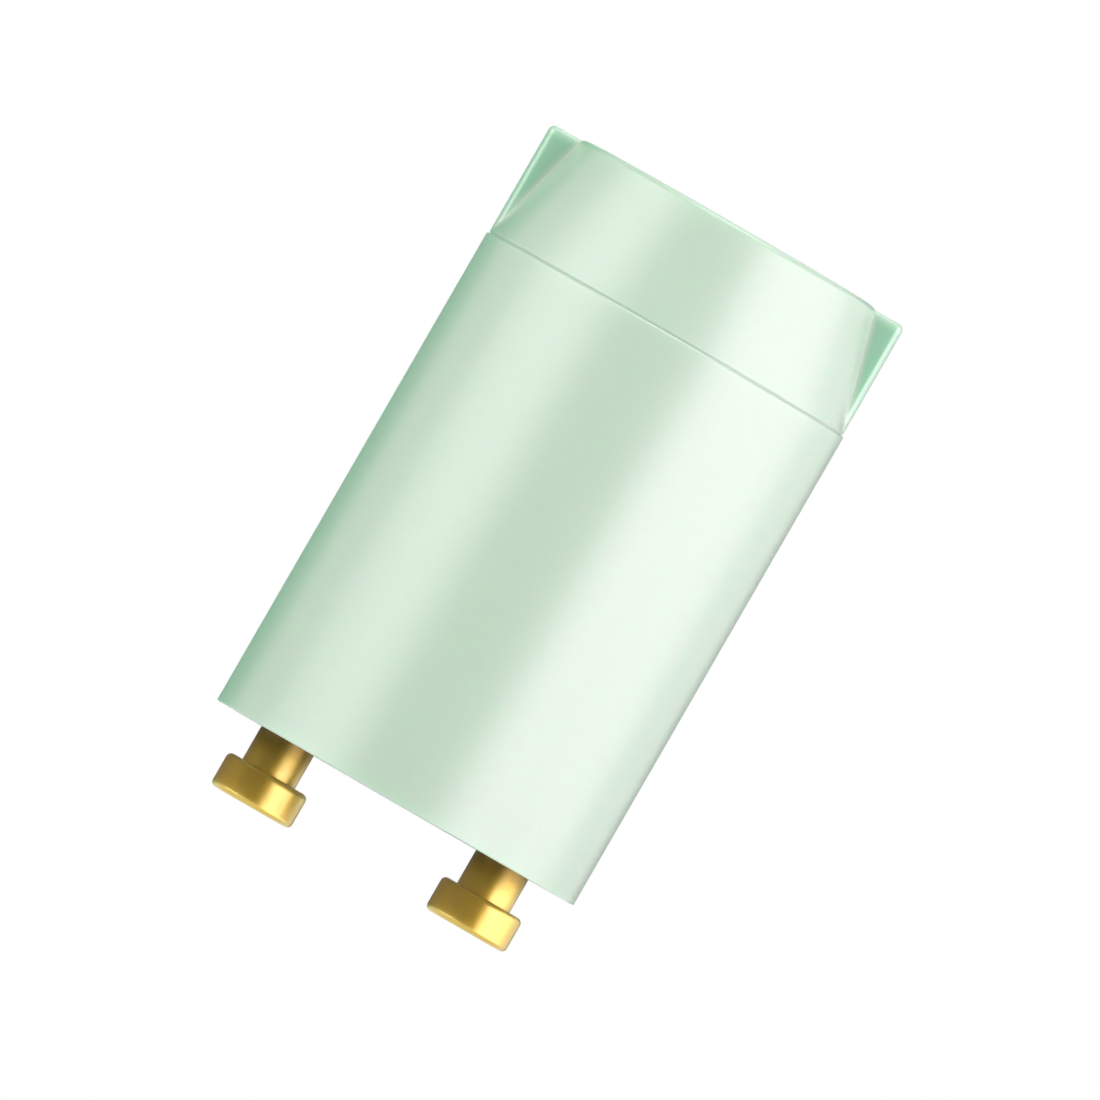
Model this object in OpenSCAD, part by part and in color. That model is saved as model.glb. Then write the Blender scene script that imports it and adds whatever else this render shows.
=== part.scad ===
// Glow starter for fluorescent lamps.
// A moulded can with a tapered nose and two grip wings is closed by a base disc that carries
// two turned contact pins. Inside it, a small glow bulb with a bimetal switch and a dipped
// capacitor are soldered side by side into the hollow inner ends of the pins.
// The starter stands on its pin heads: z = 0 is their end face, the pins lie along X,
// and the wings lie in the plane of the pins. All sizes are in millimetres.

/* [Contact pins] */
// Distance between the centres of the two pins
pin_pitch = 12.7; // [12.5:0.05:12.9]
// How far the pins stand out below the rim of the can
pin_reach = 3.9; // [3.6:0.1:4.4]
// Diameter of a pin's head
head_d = 4.7; // [4.5:0.05:5]
// Height of a pin's head
head_h = 1.95; // [1.7:0.05:2.2]
// Rounding of the head's two edges
head_edge = 0.3; // [0.1:0.05:0.5]
// Diameter of the neck that the socket's spring grips
neck_d = 3.1; // [2.8:0.05:3.4]
// Diameter of the shank inside the base disc
shank_d = 2.5; // [2.3:0.05:2.7]
// Diameter of the collar that is upset over the base disc
rivet_d = 3.7; // [3.4:0.1:4.2]
// Height of that collar
rivet_h = 0.7; // [0.5:0.05:1]
// Diameter of the solder cup in the pin's inner end
cup_d = 1.7; // [1.6:0.05:1.9]
// Depth of the solder cup
cup_depth = 2.4; // [1.5:0.1:3.5]

/* [Can] */
// Diameter of the barrel
body_d = 21.1; // [20.9:0.05:21.5]
// Height of the barrel, from the rim to the parting line
barrel_h = 27.75; // [27:0.25:29]
// Thickness of the can's side wall
wall = 1.1; // [0.9:0.05:1.3]
// Thickness of the closed end
end_wall = 1.3; // [1:0.1:1.6]
// How far the nose stands back from the barrel at the parting line
seam_step = 0.1; // [0.05:0.01:0.15]
// Depth and height of the fine groove along the parting line
seam_groove = 0.09; // [0.06:0.01:0.14]
// Rounding of the barrel's two outer edges
barrel_edge = 0.08; // [0.05:0.01:0.15]

/* [Nose and grip wings] */
// Height of the nose, from the parting line to the closed end
nose_h = 6.55; // [6:0.05:7.2]
// How far the nose draws in from its foot to the closed end, on each side
nose_inset = 1.75; // [1.4:0.05:2.1]
// Rounding of the edge round the closed end
nose_edge = 0.3; // [0.15:0.05:0.6]
// Thickness of the two grip wings
wing_t = 2.4; // [1.8:0.1:3.2]
// How far the wings stay below the closed end
wing_drop = 0.13; // [0.05:0.01:0.3]
// Rounding of the wings' outer top corners
wing_corner = 0.35; // [0.2:0.05:0.6]
// Rounding of the wings' long edges
wing_edge = 0.3; // [0.1:0.05:0.5]
// Diameter of the shallow gate mark in the closed end
gate_d = 2.6; // [2:0.1:3.5]
// Depth of the gate mark
gate_depth = 0.25; // [0.1:0.05:0.4]

/* [Base disc] */
// Thickness of the disc
base_t = 2.2; // [1.8:0.1:2.6]
// How far the disc lies inside the rim
base_recess = 0.35; // [0.3:0.05:0.6]
// Width of the ledge in the can that the disc seats against
ledge_w = 0.4; // [0.3:0.05:0.5]
// Height that the snap bead stands in from the can's wall
snap = 0.15; // [0.1:0.01:0.2]
// Radial clearance between the disc and the can
base_fit = 0.05; // [0.03:0.01:0.08]
// Width of the moulding round each pin hole, beyond the pin's collar
boss_rim = 0.9; // [0.6:0.1:1.2]
// Height of those mouldings and of the rib between them
boss_h = 0.8; // [0.5:0.1:1.2]
// Thickness of that rib
rib_t = 1.2; // [0.9:0.1:1.6]

/* [Glow bulb] */
// Diameter of the glass tube
bulb_d = 7.6; // [7.2:0.1:8]
// Length of the round tube with its two domed ends
tube_len = 15.4; // [14.8:0.1:16]
// Thickness of the glass
glass_t = 0.6; // [0.5:0.05:0.7]
// Height of the flat pinch that seals the leads
pinch_h = 4.2; // [3.5:0.1:5]
// Width of the pinch
pinch_w = 5.6; // [5:0.1:6]
// Thickness of the pinch
pinch_t = 2.1; // [1.8:0.1:2.5]
// Height of the sealed exhaust tip on the bulb's top
tip_h = 1.4; // [1:0.1:1.8]
// Width of that tip at its foot
tip_d = 1.9; // [1.4:0.1:2.2]
// Distance between the bulb's two leads
bulb_lead_pitch = 2.6; // [2.4:0.1:3]

/* [Switch inside the bulb] */
// Height of the two posts above the glass floor
post_h = 3; // [2.6:0.1:3.4]
// Length over which a post and what it carries are welded
weld_len = 1.6; // [1.2:0.1:2]
// Thickness of the bimetal blade
blade_t = 0.25; // [0.2:0.01:0.3]
// Width of the bimetal blade
blade_w = 2; // [1.6:0.1:2.4]
// Width of the blade's hairpin, over both legs
hairpin_w = 1.9; // [1.7:0.05:2.1]
// Length of the blade's welded leg, up to its bend
blade_leg = 8.6; // [8:0.1:9]
// Length of the blade's free leg, which stays short of the foot
free_leg = 3.2; // [2.6:0.1:4]
// Diameter of the fixed electrode
electrode_d = 0.8; // [0.7:0.05:0.9]
// Length of the fixed electrode
electrode_len = 7; // [6.4:0.1:7.6]

/* [Capacitor] */
// Width of the dipped body
cap_w = 10; // [9:0.5:11]
// Thickness of the dipped body
cap_t = 4; // [3.5:0.1:4.5]
// Height of the dipped body
cap_h = 8.5; // [7.5:0.5:10]
// Rounding of the dipped body
cap_edge = 1.2; // [0.8:0.1:1.5]
// Distance between the capacitor's two leads
cap_lead_pitch = 7.5; // [7:0.1:8]
// Height of the coating that runs down each lead
skirt_h = 0.8; // [0.5:0.1:1.2]

/* [Leads and solder] */
// Diameter of the lead wires
wire_d = 0.5; // [0.4:0.05:0.55]
// Radius of the bends in the lead wires, at their centre line
wire_bend = 0.7; // [0.6:0.05:1]
// Distance between the two wires that share a solder cup
wire_spread = 0.8; // [0.75:0.01:0.85]
// Length of wire that dips into the solder cup
wire_dip = 1.6; // [1.2:0.1:1.8]
// Height of the solder's dome above the pin
solder_h = 0.45; // [0.3:0.05:0.6]
// Straight length of wire left bare below the bulb and the capacitor
bare_len = 0.5; // [0.3:0.1:0.9]
// Clearance where two inner pieces are riveted, sealed, welded or soldered together
joint_gap = 0.02; // [0.01:0.005:0.03]

/* [Hidden] */

SIDES = [-1, 1];
LEFT = -1;
RIGHT = 1;
arc_steps = 6;
dome_steps = 14;
wire_sides = 24;
round_sides = 96;

// Heights, from the pin heads upwards
rim_z = pin_reach;
base_z = rim_z + base_recess;
ledge_z = base_z + base_t;
boss_z = ledge_z + boss_h;
rivet_z = boss_z + rivet_h;
cup_z = rivet_z - cup_depth;
seam_z = rim_z + barrel_h;
top_z = seam_z + nose_h;
wing_z = top_z - wing_drop;
solder_z = rivet_z + solder_h;
run_z = solder_z + joint_gap + wire_bend;
pinch_z = run_z + wire_bend + bare_len;
tube_z = pinch_z + pinch_h;
tube_top_z = tube_z + tube_len;
floor_z = tube_z + glass_t;
post_z = floor_z + post_h;
weld_z = post_z - weld_len;
bend_z = weld_z + blade_leg;
cap_z = run_z + wire_bend + bare_len + skirt_h;

// Radii and places across the can. The bulb and the capacitor share out the free space, with
// the same gap from the can to the bulb, on to the capacitor, and from its corners to the can.
body_r = body_d / 2;
bore_r = body_r - wall;
seat_r = bore_r + ledge_w;
base_r = seat_r - base_fit;
nose_r = body_r - seam_step;
taper = atan(nose_inset / nose_h);
skin = wall / cos(taper);
pin_x = pin_pitch / 2;
head_r = head_d / 2;
neck_r = neck_d / 2;
shank_r = shank_d / 2;
rivet_r = rivet_d / 2;
cup_r = cup_d / 2;
boss_r = rivet_r + boss_rim;
wire_r = wire_d / 2;
bulb_r = bulb_d / 2;
cavity_r = bulb_r - glass_t;
cap_chord_y = sqrt(bore_r * bore_r - cap_w * cap_w / 4);
inner_gap = (bore_r + cap_chord_y - bulb_d - cap_t) / 3;
bulb_y = bore_r - inner_gap - bulb_r;
cap_y = bulb_y - bulb_r - inner_gap - cap_t / 2;
post_x = bulb_lead_pitch / 2;
electrode_r = electrode_d / 2;
electrode_x = -post_x - wire_r - joint_gap - electrode_r;
blade_x = post_x - wire_r - joint_gap;
lap = 0.5;

can_green = [0.74, 0.86, 0.76];
base_white = [0.87, 0.89, 0.84];
brass = [0.76, 0.6, 0.25];
tin = [0.78, 0.79, 0.8];
nickel = [0.66, 0.65, 0.62];
clear_glass = [0.85, 0.92, 0.92, 0.4];
dip_ochre = [0.82, 0.6, 0.2];

// Points of an arc of radius r round c, from angle a0 to angle a1
function arc(c, r, a0, a1, steps = arc_steps) =
    [for (i = [0:steps]) let (a = a0 + (a1 - a0) * i / steps) c + r * [cos(a), sin(a)]];

// Radius of the nose's outside at height z
function nose_at(z) = nose_r - (z - seam_z) * tan(taper);

// Where a cylinder of radius r leaves the inside of the nose
function nose_floor(r) = seam_z - (r - (nose_r - skin)) / tan(taper);

// Rectangle with rounded corners, centred, with its long sides along X
module rounded_rectangle(size, r) {
    square([size[0] - 2 * r, size[1]], center = true);
    square([size[0], size[1] - 2 * r], center = true);
    for (x = SIDES, y = SIDES)
        translate([x * (size[0] / 2 - r), y * (size[1] / 2 - r)])
            circle(r = r, $fn = wire_sides);
}

// Outside of the can without its wings: barrel, parting line and nose
module can_outside() {
    edge_c = [nose_at(top_z - nose_edge) - nose_edge / cos(taper), top_z - nose_edge];
    rotate_extrude($fn = round_sides)
        polygon(concat(
            [[0, rim_z]],
            arc([body_r - barrel_edge, rim_z + barrel_edge], barrel_edge, -90, 0),
            arc([body_r - barrel_edge, seam_z - barrel_edge], barrel_edge, 0, 90),
            [[nose_r, seam_z]],
            arc(edge_c, nose_edge, taper, 90),
            [[gate_d / 2, top_z],
             [gate_d / 2 - gate_depth / 2, top_z - gate_depth],
             [0, top_z - gate_depth]]));
}

// Two wings in the plane of the pins, which keep the barrel's width up to the closed end
module grip_wings() {
    foot_z = seam_z - lap;
    h = wing_z - foot_z;
    intersection() {
        rotate_extrude($fn = round_sides)
            polygon(concat(
                [[0, foot_z], [nose_r, foot_z]],
                arc([nose_r - wing_corner, wing_z - wing_corner], wing_corner, 0, 90),
                [[0, wing_z]]));
        translate([0, 0, foot_z])
            linear_extrude(h)
                rounded_rectangle([2 * nose_r + joint_gap, wing_t], wing_edge);
        rotate([90, 0, 90])
            linear_extrude(2 * body_d, center = true)
                translate([0, wing_z - h])
                    rounded_rectangle([wing_t, 2 * h], wing_edge);
    }
}

// Fine groove that runs all the way round along the parting line
module parting_groove() {
    translate([0, 0, seam_z])
        rotate_extrude($fn = round_sides)
            translate([nose_r - seam_groove, 0])
                square([body_r, seam_groove]);
}

// Inside of the can: ledge, snap bead, bore and tapered end
module can_inside() {
    bead_z = base_z - joint_gap;
    inner_top = top_z - end_wall;
    rotate_extrude($fn = round_sides)
        polygon([[0, rim_z - lap],
                 [seat_r, rim_z - lap],
                 [seat_r, bead_z - 2 * snap],
                 [seat_r - snap, bead_z - snap],
                 [seat_r, bead_z],
                 [seat_r, ledge_z],
                 [bore_r, ledge_z],
                 [bore_r, nose_floor(bore_r)],
                 [nose_at(inner_top) - skin, inner_top],
                 [0, inner_top]]);
}

module housing() {
    color(can_green)
        difference() {
            union() {
                can_outside();
                grip_wings();
            }
            parting_groove();
            can_inside();
        }
}

// Raised mouldings round the two pin holes, joined by a rib
module pin_mouldings() {
    for (side = SIDES)
        translate([side * pin_x, 0, base_z])
            cylinder(r = boss_r, h = boss_z - base_z, $fn = round_sides);
    translate([-pin_x, -rib_t / 2, base_z])
        cube([pin_pitch, rib_t, boss_z - base_z]);
}

// Disc that snaps in behind the can's bead, with its mouldings trimmed to the can's bore
module base_disc() {
    lead_in = snap;
    color(base_white)
        difference() {
            union() {
                rotate_extrude($fn = round_sides)
                    polygon([[0, base_z],
                             [base_r - lead_in, base_z],
                             [base_r, base_z + lead_in],
                             [base_r, ledge_z],
                             [0, ledge_z]]);
                intersection() {
                    translate([0, 0, base_z + lap])
                        cylinder(r = bore_r - base_fit, h = boss_z - base_z - lap,
                                 $fn = round_sides);
                    pin_mouldings();
                }
            }
            for (side = SIDES)
                translate([side * pin_x, 0, base_z - lap])
                    cylinder(r = shank_r + joint_gap, h = boss_z - base_z + 2 * lap,
                             $fn = round_sides);
            translate([0, 0, base_z - lap])
                cylinder(d = gate_d, h = lap + gate_depth, $fn = round_sides);
        }
}

// One turned pin: head, neck, shank through the disc, upset collar and solder cup
module pin(side) {
    drill_tip = cup_r * tan(30);
    collar_edge = rivet_h / 2;
    color(brass)
        translate([side * pin_x, 0, 0])
            rotate_extrude($fn = round_sides)
                polygon(concat(
                    [[0, 0]],
                    arc([head_r - head_edge, head_edge], head_edge, -90, 0),
                    arc([head_r - head_edge, head_h - head_edge], head_edge, 0, 90),
                    [[neck_r, head_h],
                     [neck_r, base_z],
                     [shank_r, base_z],
                     [shank_r, boss_z],
                     [rivet_r, boss_z]],
                    arc([rivet_r - collar_edge, rivet_z - collar_edge], collar_edge, 0, 90),
                    [[cup_r, rivet_z],
                     [cup_r, cup_z],
                     [0, cup_z - drill_tip]]));
}

// Round wire in an upright plane: down from z_top, along X for length run, and down to z_foot
module planar_wire(run, z_top, z_foot, r) {
    translate([0, 0, run_z + wire_bend])
        cylinder(r = r, h = z_top - run_z - wire_bend, $fn = wire_sides);
    translate([wire_bend, 0, run_z + wire_bend])
        rotate([90, 0, 0])
            rotate([0, 0, 180])
                rotate_extrude(angle = 90, $fn = round_sides)
                    translate([wire_bend, 0])
                        circle(r = r, $fn = wire_sides);
    translate([wire_bend, 0, run_z])
        rotate([0, 90, 0])
            cylinder(r = r, h = run - 2 * wire_bend, $fn = wire_sides);
    translate([run - wire_bend, 0, run_z - wire_bend])
        rotate([90, 0, 0])
            rotate_extrude(angle = 90, $fn = round_sides)
                translate([wire_bend, 0])
                    circle(r = r, $fn = wire_sides);
    translate([run, 0, z_foot])
        cylinder(r = r, h = run_z - wire_bend - z_foot, $fn = wire_sides);
}

// Lead wire from a place above to its half of the solder cup
module lead(side, from, half, z_top) {
    to = [side * pin_x, half * wire_spread / 2];
    way = to - from;
    translate([from[0], from[1], 0])
        rotate([0, 0, atan2(way[1], way[0])])
            planar_wire(norm(way), z_top, rivet_z - wire_dip, wire_r);
}

module bulb_lead(side) {
    color(nickel)
        lead(side, [side * post_x, bulb_y], 1, post_z);
}

module capacitor_lead(side) {
    color(tin)
        lead(side, [side * cap_lead_pitch / 2, cap_y], -1, cap_z + cap_edge);
}

// Solder that fills a pin's cup, with a low dome over the pin's end
module solder(side) {
    edge_r = cup_r - joint_gap;
    drill_tip = edge_r * tan(30);
    dome_r = (cup_r * cup_r + solder_h * solder_h) / (2 * solder_h);
    dome_a = asin(edge_r / dome_r);
    dome_c = solder_z - dome_r;
    color(tin)
        difference() {
            translate([side * pin_x, 0, 0])
                rotate_extrude($fn = round_sides)
                    polygon(concat(
                        [[0, cup_z - drill_tip + joint_gap], [edge_r, cup_z + joint_gap]],
                        arc([0, dome_c], dome_r, 90 - dome_a, 90)));
            for (half = SIDES)
                translate([side * pin_x, half * wire_spread / 2, rivet_z - wire_dip - joint_gap])
                    cylinder(r = wire_r + joint_gap, h = cup_depth + solder_h,
                             $fn = wire_sides);
        }
}

// Glass of the glow bulb: tube, pinch and exhaust tip, blown and pressed in one piece
module bulb_glass() {
    foot = tip_d / 2;
    end_r = foot / 2;
    tip_z = tube_top_z + tip_h;
    color(clear_glass)
        translate([0, bulb_y, 0])
            difference() {
                union() {
                    rotate_extrude($fn = round_sides)
                        polygon(concat(
                            arc([0, tube_z + bulb_r], bulb_r, -90, 0, dome_steps),
                            arc([0, tube_top_z - bulb_r], bulb_r, 0, acos(foot / bulb_r),
                                dome_steps),
                            arc([0, tip_z - end_r], end_r, 0, 90)));
                    translate([0, 0, pinch_z])
                        linear_extrude(pinch_h + bulb_r / 2)
                            rounded_rectangle([pinch_w, pinch_t], pinch_t / 4);
                }
                rotate_extrude($fn = round_sides)
                    polygon(concat(
                        arc([0, floor_z + cavity_r], cavity_r, -90, 0, dome_steps),
                        arc([0, tube_top_z - glass_t - cavity_r], cavity_r, 0, 90,
                            dome_steps)));
                for (side = SIDES)
                    translate([side * post_x, 0, pinch_z - lap])
                        cylinder(r = wire_r + joint_gap, h = floor_z - pinch_z + bulb_r,
                                 $fn = wire_sides);
            }
}

// Nickel rod welded beside the left post
module fixed_electrode() {
    tip = electrode_r / 3;
    color(nickel)
        translate([electrode_x, bulb_y, weld_z])
            rotate_extrude($fn = wire_sides)
                polygon([[0, 0],
                         [electrode_r, 0],
                         [electrode_r, electrode_len - tip],
                         [electrode_r - tip, electrode_len],
                         [0, electrode_len]]);
}

// Bimetal hairpin: one leg is welded to the right post, and the free leg swings to the rod
module bimetal_blade() {
    outer_r = hairpin_w / 2;
    color(nickel)
        translate([blade_x, bulb_y, 0]) {
            translate([-blade_t, -blade_w / 2, weld_z])
                cube([blade_t, blade_w, blade_leg]);
            translate([-outer_r, 0, bend_z])
                rotate([90, 0, 0])
                    rotate_extrude(angle = 180, $fn = round_sides)
                        translate([outer_r - blade_t, -blade_w / 2])
                            square([blade_t, blade_w]);
            translate([-hairpin_w, -blade_w / 2, bend_z - free_leg])
                cube([blade_t, blade_w, free_leg]);
        }
}

// Block with all its edges rounded, standing on z = 0
module rounded_block(size, r) {
    translate([0, 0, size[2] / 2])
        intersection() {
            linear_extrude(size[2], center = true)
                rounded_rectangle([size[0], size[1]], r);
            rotate([90, 0, 0])
                linear_extrude(size[1], center = true)
                    rounded_rectangle([size[0], size[2]], r);
            rotate([90, 0, 90])
                linear_extrude(size[0], center = true)
                    rounded_rectangle([size[1], size[2]], r);
        }
}

// Dipped film capacitor, whose coating runs a little way down both leads
module capacitor() {
    color(dip_ochre)
        translate([0, cap_y, 0])
            difference() {
                union() {
                    translate([0, 0, cap_z])
                        rounded_block([cap_w, cap_t, cap_h], cap_edge);
                    for (side = SIDES)
                        translate([side * cap_lead_pitch / 2, 0, cap_z - skirt_h])
                            cylinder(r1 = 1.5 * wire_r, r2 = 3 * wire_r,
                                     h = skirt_h + cap_edge / 2, $fn = wire_sides);
                }
                for (side = SIDES)
                    translate([side * cap_lead_pitch / 2, 0, cap_z - skirt_h - lap])
                        cylinder(r = wire_r + joint_gap,
                                 h = skirt_h + lap + cap_edge + joint_gap, $fn = wire_sides);
            }
}

housing();
base_disc();
pin(LEFT);  // pin_left
pin(RIGHT);  // pin_right
solder(LEFT);  // solder_left
solder(RIGHT);  // solder_right
bulb_glass();
bulb_lead(LEFT);  // bulb_lead_left
bulb_lead(RIGHT);  // bulb_lead_right
fixed_electrode();
bimetal_blade();
capacitor();
capacitor_lead(LEFT);  // capacitor_lead_left
capacitor_lead(RIGHT);  // capacitor_lead_right
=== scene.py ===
import math

import bpy
import numpy as np
from mathutils import Matrix, Vector


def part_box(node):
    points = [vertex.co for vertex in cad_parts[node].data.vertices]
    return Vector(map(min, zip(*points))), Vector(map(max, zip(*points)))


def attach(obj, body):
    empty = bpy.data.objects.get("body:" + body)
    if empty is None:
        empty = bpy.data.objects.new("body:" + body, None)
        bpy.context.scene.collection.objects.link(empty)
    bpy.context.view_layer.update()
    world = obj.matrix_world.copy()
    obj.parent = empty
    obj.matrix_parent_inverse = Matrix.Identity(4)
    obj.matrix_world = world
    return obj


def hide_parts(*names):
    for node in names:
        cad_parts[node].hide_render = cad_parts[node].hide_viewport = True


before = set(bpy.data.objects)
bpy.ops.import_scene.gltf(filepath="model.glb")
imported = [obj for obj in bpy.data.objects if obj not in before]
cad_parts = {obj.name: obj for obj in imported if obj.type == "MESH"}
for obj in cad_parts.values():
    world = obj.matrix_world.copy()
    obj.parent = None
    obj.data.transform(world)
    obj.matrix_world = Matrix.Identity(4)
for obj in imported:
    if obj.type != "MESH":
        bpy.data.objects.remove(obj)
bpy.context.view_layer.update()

MM = 0.001

# Framing of the photograph: its width, its scale, the lean of the starter to the right, and the
# point that its middle shows
PHOTO_PX = 1100
PX_PER_MM = 19.51
LEAN = math.radians(30)
VIEW_CENTRE = Vector((0.4, 0.0, 19.1)) * MM
LENS_MM = 1600
SENSOR_MM = 36

# Sizes in millimetres. Those that the parts in model.glb give are taken from them.
BODY_R = min(abs(v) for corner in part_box("housing") for v in corner[:2]) / MM
RIM_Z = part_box("housing")[0][2] / MM
TOP_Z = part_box("housing")[1][2] / MM
NOSE_H = 6.55
NOSE_INSET = 1.75
NOSE_EDGE = 0.3
SEAM_STEP = 0.1
SEAM_GROOVE = 0.09
SEAM_Z = TOP_Z - NOSE_H
NOSE_R = BODY_R - SEAM_STEP
TAPER = math.atan2(NOSE_INSET, NOSE_H)
RIM_EDGE = 0.08
WING_HALF = 1.2
WING_Z = TOP_Z - 0.13
WING_EDGE = 0.3
WING_ROOT = 0.06
GATE_R = 1.3
GATE_DEPTH = 0.25
WALL = 1.1
END_WALL = 1.3
LEDGE_W = 0.4
BOSS_H = 0.8
SEAT_R = BODY_R - WALL + LEDGE_W
LEDGE_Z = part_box("base_disc")[1][2] / MM - BOSS_H
SNAP = 0.15
SNAP_Z = RIM_Z + 0.18
RIM_CHAMFER = 0.04
RIM_LIP = 0.12
POLE_R = 0.2
PIN_X = sum(corner[0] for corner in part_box("pin_right")) / 2 / MM

# Columns on one side of the can: stops in degrees from a wing's middle, with the steps to them
WING_COLUMNS = ((-90, -12, 2), (-8.1, 0.5), (-6.3, 0.045), (6.3, 1.2), (8.1, 0.045), (12, 0.5),
                (90, 2))

# The search for the can's skin, in millimetres: where on the axis its rays begin, the first
# distance tried on them, and the steps, each a share of what can_distance gives there
MIDDLE_Z = 20.0
RAY_START = 32.0
RAY_STEPS = 60
RAY_SHARE = 0.9

# The studio, in metres: how far the lamps and cards stand from the starter's axis, and how high
LAMP_AWAY = 0.34
LAMP_Z = 0.09
LAMP_H = 0.42
TOP_SIZE = 0.3
TOP_PLACE = (0, -0.05, 0.45)
CARD_AWAY = 0.4
CARD_LOW = -0.1
CARD_HIGH = 0.3
PIN_CARD_AWAY = 3.6 * MM
PIN_CARD_LOW = 0.1 * MM
PIN_CARD_HIGH = 3.8 * MM
FLOOR_HALF = 0.25
FLOOR_CLEAR = 0.08

# Strength of the top lamp, and of the world as a light
TOP_RADIANCE = 1.6
AMBIENT = 0.42

# Linear colours of the lamps, the cards and the materials
LEFT_LIGHT = (1, 0.93, 0.96)
RIGHT_LIGHT = (1, 0.82, 0.95)
CARD_GREEN = (0.09, 0.42, 0.23)
CARD_GREY = (0.15, 0.15, 0.15)
PIN_CARD_GREY = (0.68, 0.68, 0.68)
CARD_ROUGHNESS = 0.8
GREEN = (0.452, 0.642, 0.475)
# Painted shade on the wings' faces, for the recess between them and the nose
WING_SHADE_GREEN = (0.215, 0.53, 0.33)
BRASS = (0.72, 0.52, 0.035)
WORN_BRASS = (0.60, 0.41, 0.027)
# Painted shade at the top of the pins' necks, under the can
NECK_SHADE_BROWN = (0.25, 0.17, 0.045)
RESIN = (0.72, 0.76, 0.68)
TIN = (0.72, 0.73, 0.75)
NICKEL = (0.56, 0.53, 0.48)
OCHRE = (0.68, 0.37, 0.05)
DEEP_OCHRE = (0.58, 0.28, 0.03)
GLASS = (0.93, 0.98, 0.96)
FLOOR_WHITE = (0.9, 0.9, 0.9)


def make_camera():
    """The camera stands level with the floor, so that it sees the floor edge-on."""
    width = PHOTO_PX / PX_PER_MM * MM
    distance = width * LENS_MM / SENSOR_MM
    data = bpy.data.cameras.new("camera")
    data.lens = LENS_MM
    data.sensor_width = SENSOR_MM
    data.clip_start = 0.01
    data.clip_end = 3 * distance
    camera = bpy.data.objects.new("camera", data)
    tilt = Matrix.Rotation(math.radians(90) + math.atan2(VIEW_CENTRE.z, distance), 4, "X")
    roll = Matrix.Rotation(LEAN, 4, "Z")
    place = Matrix.Translation(Vector((VIEW_CENTRE.x, -distance, 0)))
    camera.matrix_world = place @ tilt @ roll
    bpy.context.collection.objects.link(camera)
    bpy.context.scene.camera = camera


# Signed distances, in millimetres, to the forms of the can. All take arrays.

def round_and(r, *sides):
    """What all the sides hold in common, with its edges rounded to r."""
    beyond = sum(np.maximum(s + r, 0) ** 2 for s in sides)
    return np.minimum(np.maximum.reduce(sides), -r) + np.sqrt(beyond)


def round_or(r, a, b):
    """Two forms joined, with a fillet of radius r between them."""
    near = np.sqrt(np.maximum(r - a, 0) ** 2 + np.maximum(r - b, 0) ** 2)
    return np.maximum(np.minimum(a, b), r) - near


def can_distance(x, y, z):
    r = np.hypot(x, y)
    nose = round_and(NOSE_EDGE, z - TOP_Z,
                     (r - NOSE_R + (z - SEAM_Z) * math.tan(TAPER)) * math.cos(TAPER))
    wings = round_and(WING_EDGE, z - WING_Z, r - NOSE_R, np.abs(y) - WING_HALF)
    top = np.maximum(round_or(WING_ROOT, nose, wings), SEAM_Z - z)
    barrel = round_and(RIM_EDGE, r - BODY_R, z - SEAM_Z, RIM_Z - z)
    groove = SEAM_GROOVE - np.hypot(r - NOSE_R, z - SEAM_Z)
    gate = GATE_DEPTH - np.maximum(r - GATE_R + GATE_DEPTH, 0) + z - TOP_Z
    return np.maximum(np.maximum(np.minimum(top, barrel), groove), gate)


def spread(*stops):
    """Numbers from stop to stop: (start, end, step), (end, step), ..."""
    out = [stops[0][0]]
    for *_, end, step in stops:
        count = max(2, round(abs(end - out[-1]) / step) + 1)
        out += list(np.linspace(out[-1], end, count))[1:]
    return out


def can_columns():
    """Angles round the can, close together at the walls of the wings."""
    half = spread(*WING_COLUMNS)
    other = [180 + a for a in half]
    return np.radians(half[:-1] + other[:-1])


def grid_mesh(name, rows):
    """A mesh from rows of points round an axis, each joined to the next, with its ends closed."""
    rows = np.asarray(rows)
    n_rows, n_cols, _ = rows.shape
    verts = rows.reshape(-1, 3) * MM
    faces = []
    for i in range(n_rows - 1):
        for j in range(n_cols):
            k = (j + 1) % n_cols
            low, high = i * n_cols, (i + 1) * n_cols
            faces.append((low + j, low + k, high + k, high + j))
    verts = [tuple(v) for v in verts]
    for row in (0, n_rows - 1):
        middle = len(verts)
        verts.append(tuple(rows[row].mean(0) * MM))
        for j in range(n_cols):
            a, b = row * n_cols + j, row * n_cols + (j + 1) % n_cols
            faces.append((middle, b, a) if row == 0 else (middle, a, b))
    mesh = bpy.data.meshes.new(name)
    mesh.from_pydata(verts, [], faces)
    mesh.validate()
    mesh.shade_smooth()
    obj = bpy.data.objects.new(name, mesh)
    bpy.context.collection.objects.link(obj)
    return obj


def outer_profile():
    """Radius and height of the points that the rays to the outside aim at, from the rim up."""
    barrel = spread((RIM_Z, RIM_Z + 0.3, 0.03), (SEAM_Z - 0.4, 2), (SEAM_Z - 0.15, 0.05))
    seam = spread((SEAM_Z - 0.13, SEAM_Z + 0.13, 0.02))
    nose = spread((SEAM_Z + 0.17, SEAM_Z + 0.3, 0.05), (TOP_Z - 0.5, 0.075), (TOP_Z, 0.04))
    points = [(BODY_R, z) for z in barrel] + [(NOSE_R, z) for z in seam]
    points += [(NOSE_R - (z - SEAM_Z) * math.tan(TAPER), z) for z in nose]
    end_r = points[-1][0]
    end = spread((end_r - 0.03, end_r - 0.5, 0.05), (GATE_R + 0.2, 0.8), (GATE_R - 0.5, 0.05),
                 (POLE_R, 0.3))
    return points + [(r, TOP_Z) for r in end]


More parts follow.
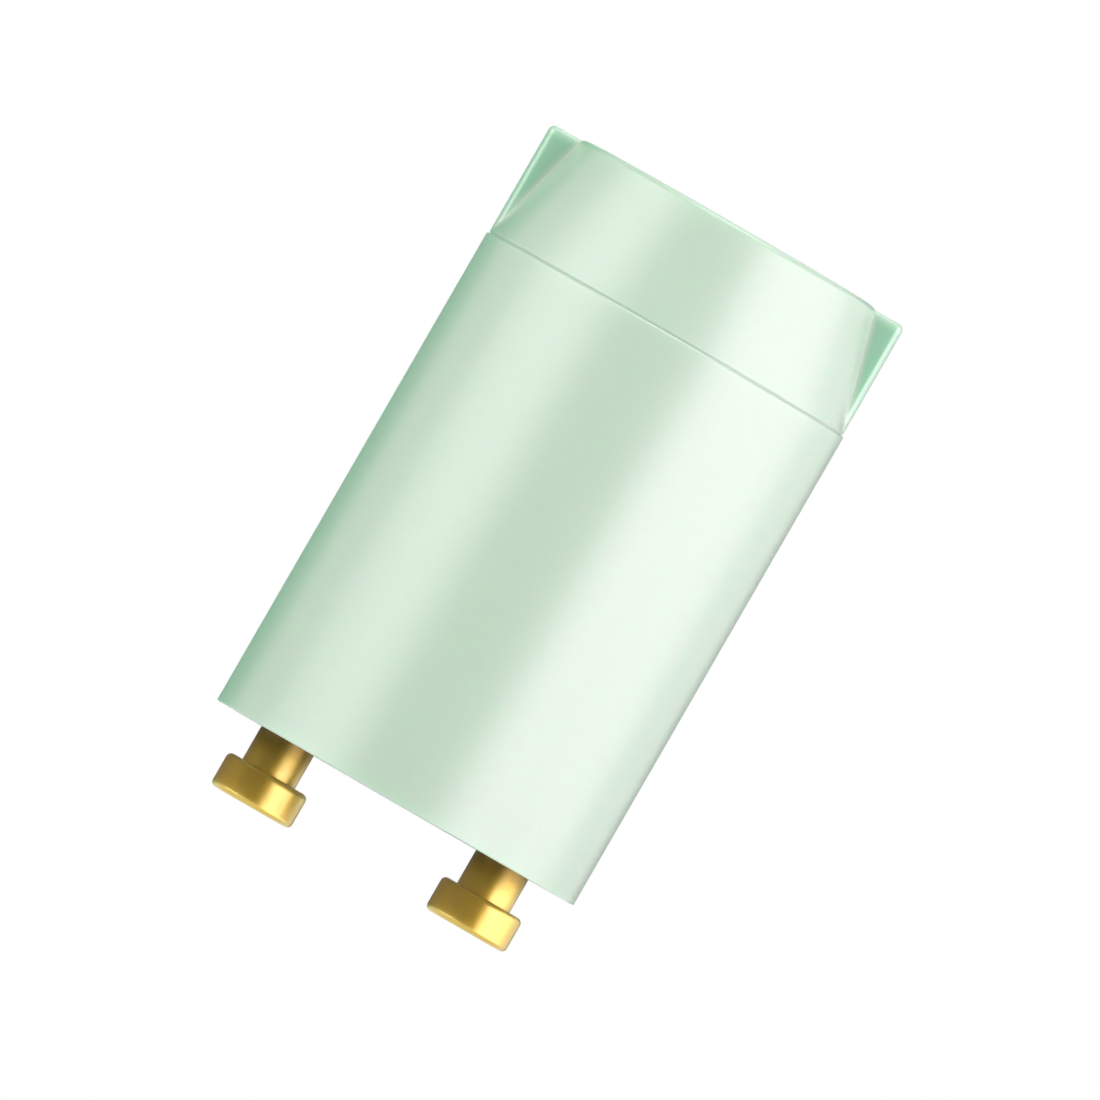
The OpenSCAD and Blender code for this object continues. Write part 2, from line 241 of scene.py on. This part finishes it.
def inner_profile():
    """Radius and height of the inside, from the closed end down: the taper, the bore, the ledge
    and the snap bead that hold the base disc, and the rim."""
    bore_r = BODY_R - WALL
    skin = WALL / math.cos(TAPER)
    end_z = TOP_Z - END_WALL
    end_r = NOSE_R - (end_z - SEAM_Z) * math.tan(TAPER) - skin
    knee_z = SEAM_Z - (bore_r - NOSE_R + skin) / math.tan(TAPER)
    return [(POLE_R, end_z), (end_r, end_z), (bore_r, knee_z), (bore_r, LEDGE_Z),
            (SEAT_R, LEDGE_Z), (SEAT_R, SNAP_Z + SNAP), (SEAT_R - SNAP, SNAP_Z),
            (SEAT_R, SNAP_Z - SNAP), (SEAT_R + RIM_CHAMFER, RIM_Z), (BODY_R - 0.4, RIM_Z),
            (BODY_R - RIM_LIP, RIM_Z)]


def round_row(angles, r, z):
    """Points at a radius and a height, one at each angle."""
    return np.stack([np.cos(angles) * r, np.sin(angles) * r, np.full_like(angles, z)], -1)


def skin_row(angles, r, z):
    """The can's outside, found along rays from its middle that pass through (r, z)."""
    reach = math.hypot(r, z - MIDDLE_Z)
    ray = round_row(angles, r / reach, (z - MIDDLE_Z) / reach)
    t = np.full_like(angles, RAY_START)
    for _ in range(RAY_STEPS):
        t -= RAY_SHARE * can_distance(ray[:, 0] * t, ray[:, 1] * t, MIDDLE_Z + ray[:, 2] * t)
    return ray * t[:, None] + (0, 0, MIDDLE_Z)


def make_can(mat):
    """The moulded can, as one closed skin."""
    angles = can_columns()
    outer = [skin_row(angles, r, z) for r, z in outer_profile()]
    inner = [round_row(angles, r, z) for r, z in inner_profile()]
    can = grid_mesh("moulded_can", inner + outer)
    can.data.materials.append(mat)
    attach(can, "starter")
    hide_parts("housing")


def material(name):
    """A new material, with its nodes, its links and its shader."""
    mat = bpy.data.materials.new(name)
    mat.use_nodes = True
    nodes, links = mat.node_tree.nodes, mat.node_tree.links
    return mat, nodes, links, nodes["Principled BSDF"]


def object_place(nodes, links):
    """Two sockets: the place on the object, and its height alone. Both are in metres."""
    place = nodes.new("ShaderNodeTexCoord").outputs["Object"]
    apart = nodes.new("ShaderNodeSeparateXYZ")
    links.new(place, apart.inputs["Vector"])
    return place, apart.outputs["Z"]


def maths(nodes, links, operation, a, b):
    """Socket with what the operation makes of two others."""
    node = nodes.new("ShaderNodeMath")
    node.operation = operation
    links.new(a, node.inputs[0])
    links.new(b, node.inputs[1])
    return node.outputs["Value"]


def map_range(nodes, links, value, low, high, at_low=0, at_high=1):
    """Socket that goes smoothly from at_low to at_high while the value goes from low to high."""
    node = nodes.new("ShaderNodeMapRange")
    node.interpolation_type = "SMOOTHSTEP"
    node.inputs["From Min"].default_value = low
    node.inputs["From Max"].default_value = high
    node.inputs["To Min"].default_value = at_low
    node.inputs["To Max"].default_value = at_high
    links.new(value, node.inputs["Value"])
    return node.outputs["Result"]


def noise(nodes, links, scale, stretch=(1, 1, 1), detail=4):
    """Socket with fine noise fixed to the object. The scale is in waves to a metre."""
    coords = nodes.new("ShaderNodeTexCoord")
    mapping = nodes.new("ShaderNodeMapping")
    mapping.inputs["Scale"].default_value = stretch
    links.new(coords.outputs["Object"], mapping.inputs["Vector"])
    node = nodes.new("ShaderNodeTexNoise")
    node.inputs["Scale"].default_value = scale
    node.inputs["Detail"].default_value = detail
    links.new(mapping.outputs["Vector"], node.inputs["Vector"])
    return node.outputs["Fac"]


def mix_colour(nodes, links, share, a, b):
    """Socket with a colour between a and b, each a colour or another socket."""
    node = nodes.new("ShaderNodeMix")
    node.data_type = "RGBA"
    links.new(share, node.inputs["Factor"])
    for name, colour in (("A", a), ("B", b)):
        socket = [i for i in node.inputs if i.name == name and i.type == "RGBA"][0]
        if isinstance(colour, tuple):
            socket.default_value = (*colour, 1)
        else:
            links.new(colour, socket)
    return [o for o in node.outputs if o.type == "RGBA"][0]


def fine_bump(nodes, links, bsdf, scale, depth, stretch=(1, 1, 1)):
    """Shallow unevenness of a moulded or worked surface."""
    bump = nodes.new("ShaderNodeBump")
    bump.inputs["Strength"].default_value = 1
    bump.inputs["Distance"].default_value = depth
    links.new(noise(nodes, links, scale, stretch), bump.inputs["Height"])
    links.new(bump.outputs["Normal"], bsdf.inputs["Normal"])


def shell_plastic():
    """Pale green moulding with a soft gloss. The wings' faces carry painted shade: a deeper green
    for the recess between them and the nose, which begins where they stand out of the nose's
    cone and fades towards their outer edges and tops, which are left lighter."""
    mat, nodes, links, bsdf = material("green_shell")
    fine_bump(nodes, links, bsdf, 900, 0.0002 * MM)
    bsdf.inputs["Roughness"].default_value = 0.35
    bsdf.inputs["IOR"].default_value = 1.586
    bsdf.inputs["Specular IOR Level"].default_value = 1.0
    bsdf.inputs["Subsurface Weight"].default_value = 1
    bsdf.inputs["Subsurface Radius"].default_value = (0.4, 1.2, 0.7)
    bsdf.inputs["Subsurface Scale"].default_value = MM
    bsdf.inputs["Coat Weight"].default_value = 1
    bsdf.inputs["Coat Roughness"].default_value = 0.35
    bsdf.inputs["Coat IOR"].default_value = 1.6
    place, height = object_place(nodes, links)
    across = nodes.new("ShaderNodeVectorMath")
    across.operation = "MULTIPLY"
    across.inputs[1].default_value = (1, 1, 0)
    links.new(place, across.inputs[0])
    length = nodes.new("ShaderNodeVectorMath")
    length.operation = "LENGTH"
    links.new(across.outputs["Vector"], length.inputs[0])
    radius = length.outputs["Value"]
    cone = nodes.new("ShaderNodeMath")
    cone.operation = "MULTIPLY_ADD"
    cone.inputs[1].default_value = math.tan(TAPER)
    cone.inputs[2].default_value = -(NOSE_R + SEAM_Z * math.tan(TAPER)) * MM
    links.new(height, cone.inputs[0])
    beyond = maths(nodes, links, "ADD", radius, cone.outputs["Value"])
    # Painted shade: the wings' faces turn a deeper green, less so towards their outer edges and
    # tops
    share = map_range(nodes, links, beyond, 0.02 * MM, 0.4 * MM)
    for value, low, high, left in ((height, WING_Z - 0.6, WING_Z - 0.2, 0.35),
                                   (radius, NOSE_R - 0.4, NOSE_R - 0.1, 0.5)):
        fade = map_range(nodes, links, value, low * MM, high * MM, 1, left)
        share = maths(nodes, links, "MULTIPLY", share, fade)
    links.new(mix_colour(nodes, links, share, GREEN, WING_SHADE_GREEN), bsdf.inputs["Base Color"])
    return mat


def resin(name, colour, roughness):
    """Moulded material with a faint cloudiness and a fine grain."""
    mat, nodes, links, bsdf = material(name)
    dull = tuple(0.9 * c for c in colour)
    links.new(mix_colour(nodes, links, noise(nodes, links, 300), colour, dull),
              bsdf.inputs["Base Color"])
    links.new(map_range(nodes, links, noise(nodes, links, 1200), 0.3, 0.7, roughness - 0.06,
                        roughness + 0.06), bsdf.inputs["Roughness"])
    fine_bump(nodes, links, bsdf, 2500, 0.004 * MM)
    return mat


def metal(name, colour, roughness, scale=900, stretch=(1, 1, 1)):
    """Metal with a slightly uneven polish, and with fine marks that the stretch can draw out."""
    uneven = 0.04
    mat, nodes, links, bsdf = material(name)
    dull = tuple(0.85 * c for c in colour)
    links.new(mix_colour(nodes, links, noise(nodes, links, scale / 2), colour, dull),
              bsdf.inputs["Base Color"])
    bsdf.inputs["Metallic"].default_value = 1
    links.new(map_range(nodes, links, noise(nodes, links, scale, stretch), 0.3, 0.7,
                        roughness - uneven, roughness + uneven), bsdf.inputs["Roughness"])
    fine_bump(nodes, links, bsdf, 2 * scale, 0.002 * MM, stretch)
    return mat


def pin_brass():
    """Satin turned brass, lacquered, with painted shade towards the top of the neck, where it
    enters the base under the can: browner there, and with less coat.
    """
    mat, nodes, links, bsdf = material("pin_brass")
    height = object_place(nodes, links)[1]
    # Painted shade: browner towards the top of the neck, under the can
    depth = map_range(nodes, links, height, 2.2 * MM, 4.1 * MM)
    cloud = mix_colour(nodes, links, noise(nodes, links, 900, detail=5), BRASS, WORN_BRASS)
    links.new(mix_colour(nodes, links, depth, cloud, NECK_SHADE_BROWN), bsdf.inputs["Base Color"])
    bsdf.inputs["Metallic"].default_value = 1
    links.new(map_range(nodes, links, noise(nodes, links, 1500), 0.3, 0.7, 0.38, 0.48),
              bsdf.inputs["Roughness"])
    # Painted shade: less coat, so a weaker highlight, towards the top of the neck
    links.new(map_range(nodes, links, height, 2.2 * MM, 3.6 * MM, 1, 0.2),
              bsdf.inputs["Coat Weight"])
    bsdf.inputs["Coat Roughness"].default_value = 0.3
    bsdf.inputs["Coat IOR"].default_value = 1.9
    fine_bump(nodes, links, bsdf, 700, 0.006 * MM, (1, 1, 6))
    return mat


def clear_glass():
    """Thin blown glass, very slightly wavy."""
    mat, nodes, links, bsdf = material("bulb_glass")
    bsdf.inputs["Base Color"].default_value = (*GLASS, 1)
    bsdf.inputs["Transmission Weight"].default_value = 1
    bsdf.inputs["Roughness"].default_value = 0.02
    bsdf.inputs["IOR"].default_value = 1.5
    fine_bump(nodes, links, bsdf, 250, 0.01 * MM)
    return mat


def dipped_coat():
    """Glossy dip coating with the soft waves of a run."""
    mat, nodes, links, bsdf = material("dipped_coat")
    links.new(mix_colour(nodes, links, noise(nodes, links, 350), OCHRE, DEEP_OCHRE),
              bsdf.inputs["Base Color"])
    bsdf.inputs["Roughness"].default_value = 0.25
    bsdf.inputs["Coat Weight"].default_value = 0.6
    bsdf.inputs["Coat Roughness"].default_value = 0.08
    fine_bump(nodes, links, bsdf, 400, 0.03 * MM)
    return mat


def dress(node, mat):
    """Gives a CAD node its material."""
    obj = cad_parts[node]
    for slot in obj.material_slots:
        slot.material = mat


def softbox(name, azimuth, width, radiance, colour):
    """A soft lamp that stands upright round the starter. Its azimuth is in degrees to the right
    of the camera, its width in degrees as the starter sees it."""
    turn = math.radians(azimuth)
    data = bpy.data.lights.new(name, "AREA")
    data.shape = "RECTANGLE"
    data.size = 2 * LAMP_AWAY * math.tan(math.radians(width / 2))
    data.size_y = LAMP_H
    data.energy = radiance * math.pi * data.size * LAMP_H
    data.color = colour
    light = bpy.data.objects.new(name, data)
    light.location = (LAMP_AWAY * math.sin(turn), -LAMP_AWAY * math.cos(turn), LAMP_Z)
    light.rotation_euler = (math.radians(90), 0, turn)
    light.visible_camera = False
    bpy.context.collection.objects.link(light)
    return light


def top_lamp():
    """A square soft lamp that hangs over the starter."""
    data = bpy.data.lights.new("top_box", "AREA")
    data.size = TOP_SIZE
    data.energy = TOP_RADIANCE * math.pi * TOP_SIZE ** 2
    light = bpy.data.objects.new("top_box", data)
    light.location = TOP_PLACE
    light.visible_camera = False
    bpy.context.collection.objects.link(light)


def upright_card(name, x, away, start, end, low, high, mat):
    """A card that stands in an arc round an upright axis at x, unseen by the camera. Reflected, it
    gives edges their depth on white. Its ends are in degrees to the right of the camera."""
    turns = [math.radians(a) for a in spread((start, end, 5))]
    foot = [(x + away * math.sin(t), -away * math.cos(t), low) for t in turns]
    verts = foot + [(px, py, high) for px, py, z in foot]
    n = len(turns)
    mesh = bpy.data.meshes.new(name)
    mesh.from_pydata(verts, [], [(i, i + 1, n + i + 1, n + i) for i in range(n - 1)])
    mesh.materials.append(mat)
    card = bpy.data.objects.new(name, mesh)
    card.visible_camera = False
    card.visible_shadow = False
    card.visible_diffuse = False
    bpy.context.collection.objects.link(card)


def make_world():
    """White to the camera, in reflections and through glass, and dimmer as a light."""
    world = bpy.data.worlds.new("studio")
    bpy.context.scene.world = world
    world.use_nodes = True
    nodes, links = world.node_tree.nodes, world.node_tree.links
    nodes.clear()
    out = nodes.new("ShaderNodeOutputWorld")
    mix = nodes.new("ShaderNodeMixShader")
    seen = nodes.new("ShaderNodeBackground")
    seen.inputs["Color"].default_value = (1, 1, 1, 1)
    seen.inputs["Strength"].default_value = 1
    light = nodes.new("ShaderNodeBackground")
    light.inputs["Color"].default_value = (1, 1, 1, 1)
    light.inputs["Strength"].default_value = AMBIENT
    path = nodes.new("ShaderNodeLightPath").outputs
    shown = maths(nodes, links, "MAXIMUM", path["Is Camera Ray"], path["Is Glossy Ray"])
    shown = maths(nodes, links, "MAXIMUM", shown, path["Is Transmission Ray"])
    links.new(shown, mix.inputs["Fac"])
    links.new(light.outputs[0], mix.inputs[1])
    links.new(seen.outputs[0], mix.inputs[2])
    links.new(mix.outputs[0], out.inputs["Surface"])


def make_floor():
    """A white floor that shows only the starter's shadow, and fades out towards its edges."""
    half = FLOOR_HALF
    mesh = bpy.data.meshes.new("floor")
    mesh.from_pydata([(-half, -half, 0), (half, -half, 0), (half, half, 0), (-half, half, 0)],
                     [], [(0, 1, 2, 3)])
    floor = bpy.data.objects.new("floor", mesh)
    bpy.context.collection.objects.link(floor)
    mat, nodes, links, bsdf = material("floor")
    bsdf.inputs["Base Color"].default_value = (*FLOOR_WHITE, 1)
    bsdf.inputs["Roughness"].default_value = 0.8
    coords = nodes.new("ShaderNodeTexCoord")
    away = nodes.new("ShaderNodeVectorMath")
    away.operation = "LENGTH"
    links.new(coords.outputs["Object"], away.inputs[0])
    fade = map_range(nodes, links, away.outputs["Value"], FLOOR_CLEAR, half, 1, 0)
    links.new(fade, bsdf.inputs["Alpha"])
    mesh.materials.append(mat)
    floor.is_shadow_catcher = True
    floor.visible_glossy = False


make_camera()
make_world()
make_floor()

make_can(shell_plastic())
brass = pin_brass()
solder = metal("solder", TIN, 0.25, scale=500)
nickel = metal("nickel_wire", NICKEL, 0.35)
tinned = metal("tinned_wire", TIN, 0.3)
dress("base_disc", resin("base_resin", RESIN, 0.55))
dress("bulb_glass", clear_glass())
dress("fixed_electrode", nickel)
dress("bimetal_blade", metal("bimetal", NICKEL, 0.3, scale=1500, stretch=(1, 1, 0.1)))
dress("capacitor", dipped_coat())
for side in ("left", "right"):
    dress(f"pin_{side}", brass)
    dress(f"solder_{side}", solder)
    dress(f"bulb_lead_{side}", nickel)
    dress(f"capacitor_lead_{side}", tinned)

softbox("left_core", -58, 26, 0.6, LEFT_LIGHT)
softbox("left_box", -62, 58, 1.33, LEFT_LIGHT)
softbox("right_core", 48, 24, 0.6, RIGHT_LIGHT)
softbox("right_box", 55, 60, 2.05, RIGHT_LIGHT)
softbox("right_side", 96, 28, 1.4, RIGHT_LIGHT)
softbox("back_box", 180, 60, 1.2, LEFT_LIGHT).visible_glossy = False
top_lamp()
green_card = resin("card_left", CARD_GREEN, CARD_ROUGHNESS)
grey_card = resin("card_right", CARD_GREY, CARD_ROUGHNESS)
pin_card = resin("low_card", PIN_CARD_GREY, CARD_ROUGHNESS)
upright_card("card_left", 0, CARD_AWAY, -171, -128, CARD_LOW, CARD_HIGH, green_card)
upright_card("card_right", 0, CARD_AWAY, 151, 171, CARD_LOW, CARD_HIGH, grey_card)
for side, x in (("left", -PIN_X), ("right", PIN_X)):
    upright_card(f"low_card_{side}", x * MM, PIN_CARD_AWAY, -150, 14, PIN_CARD_LOW,
                 PIN_CARD_HIGH, pin_card)

bpy.context.scene.view_settings.view_transform = "Standard"
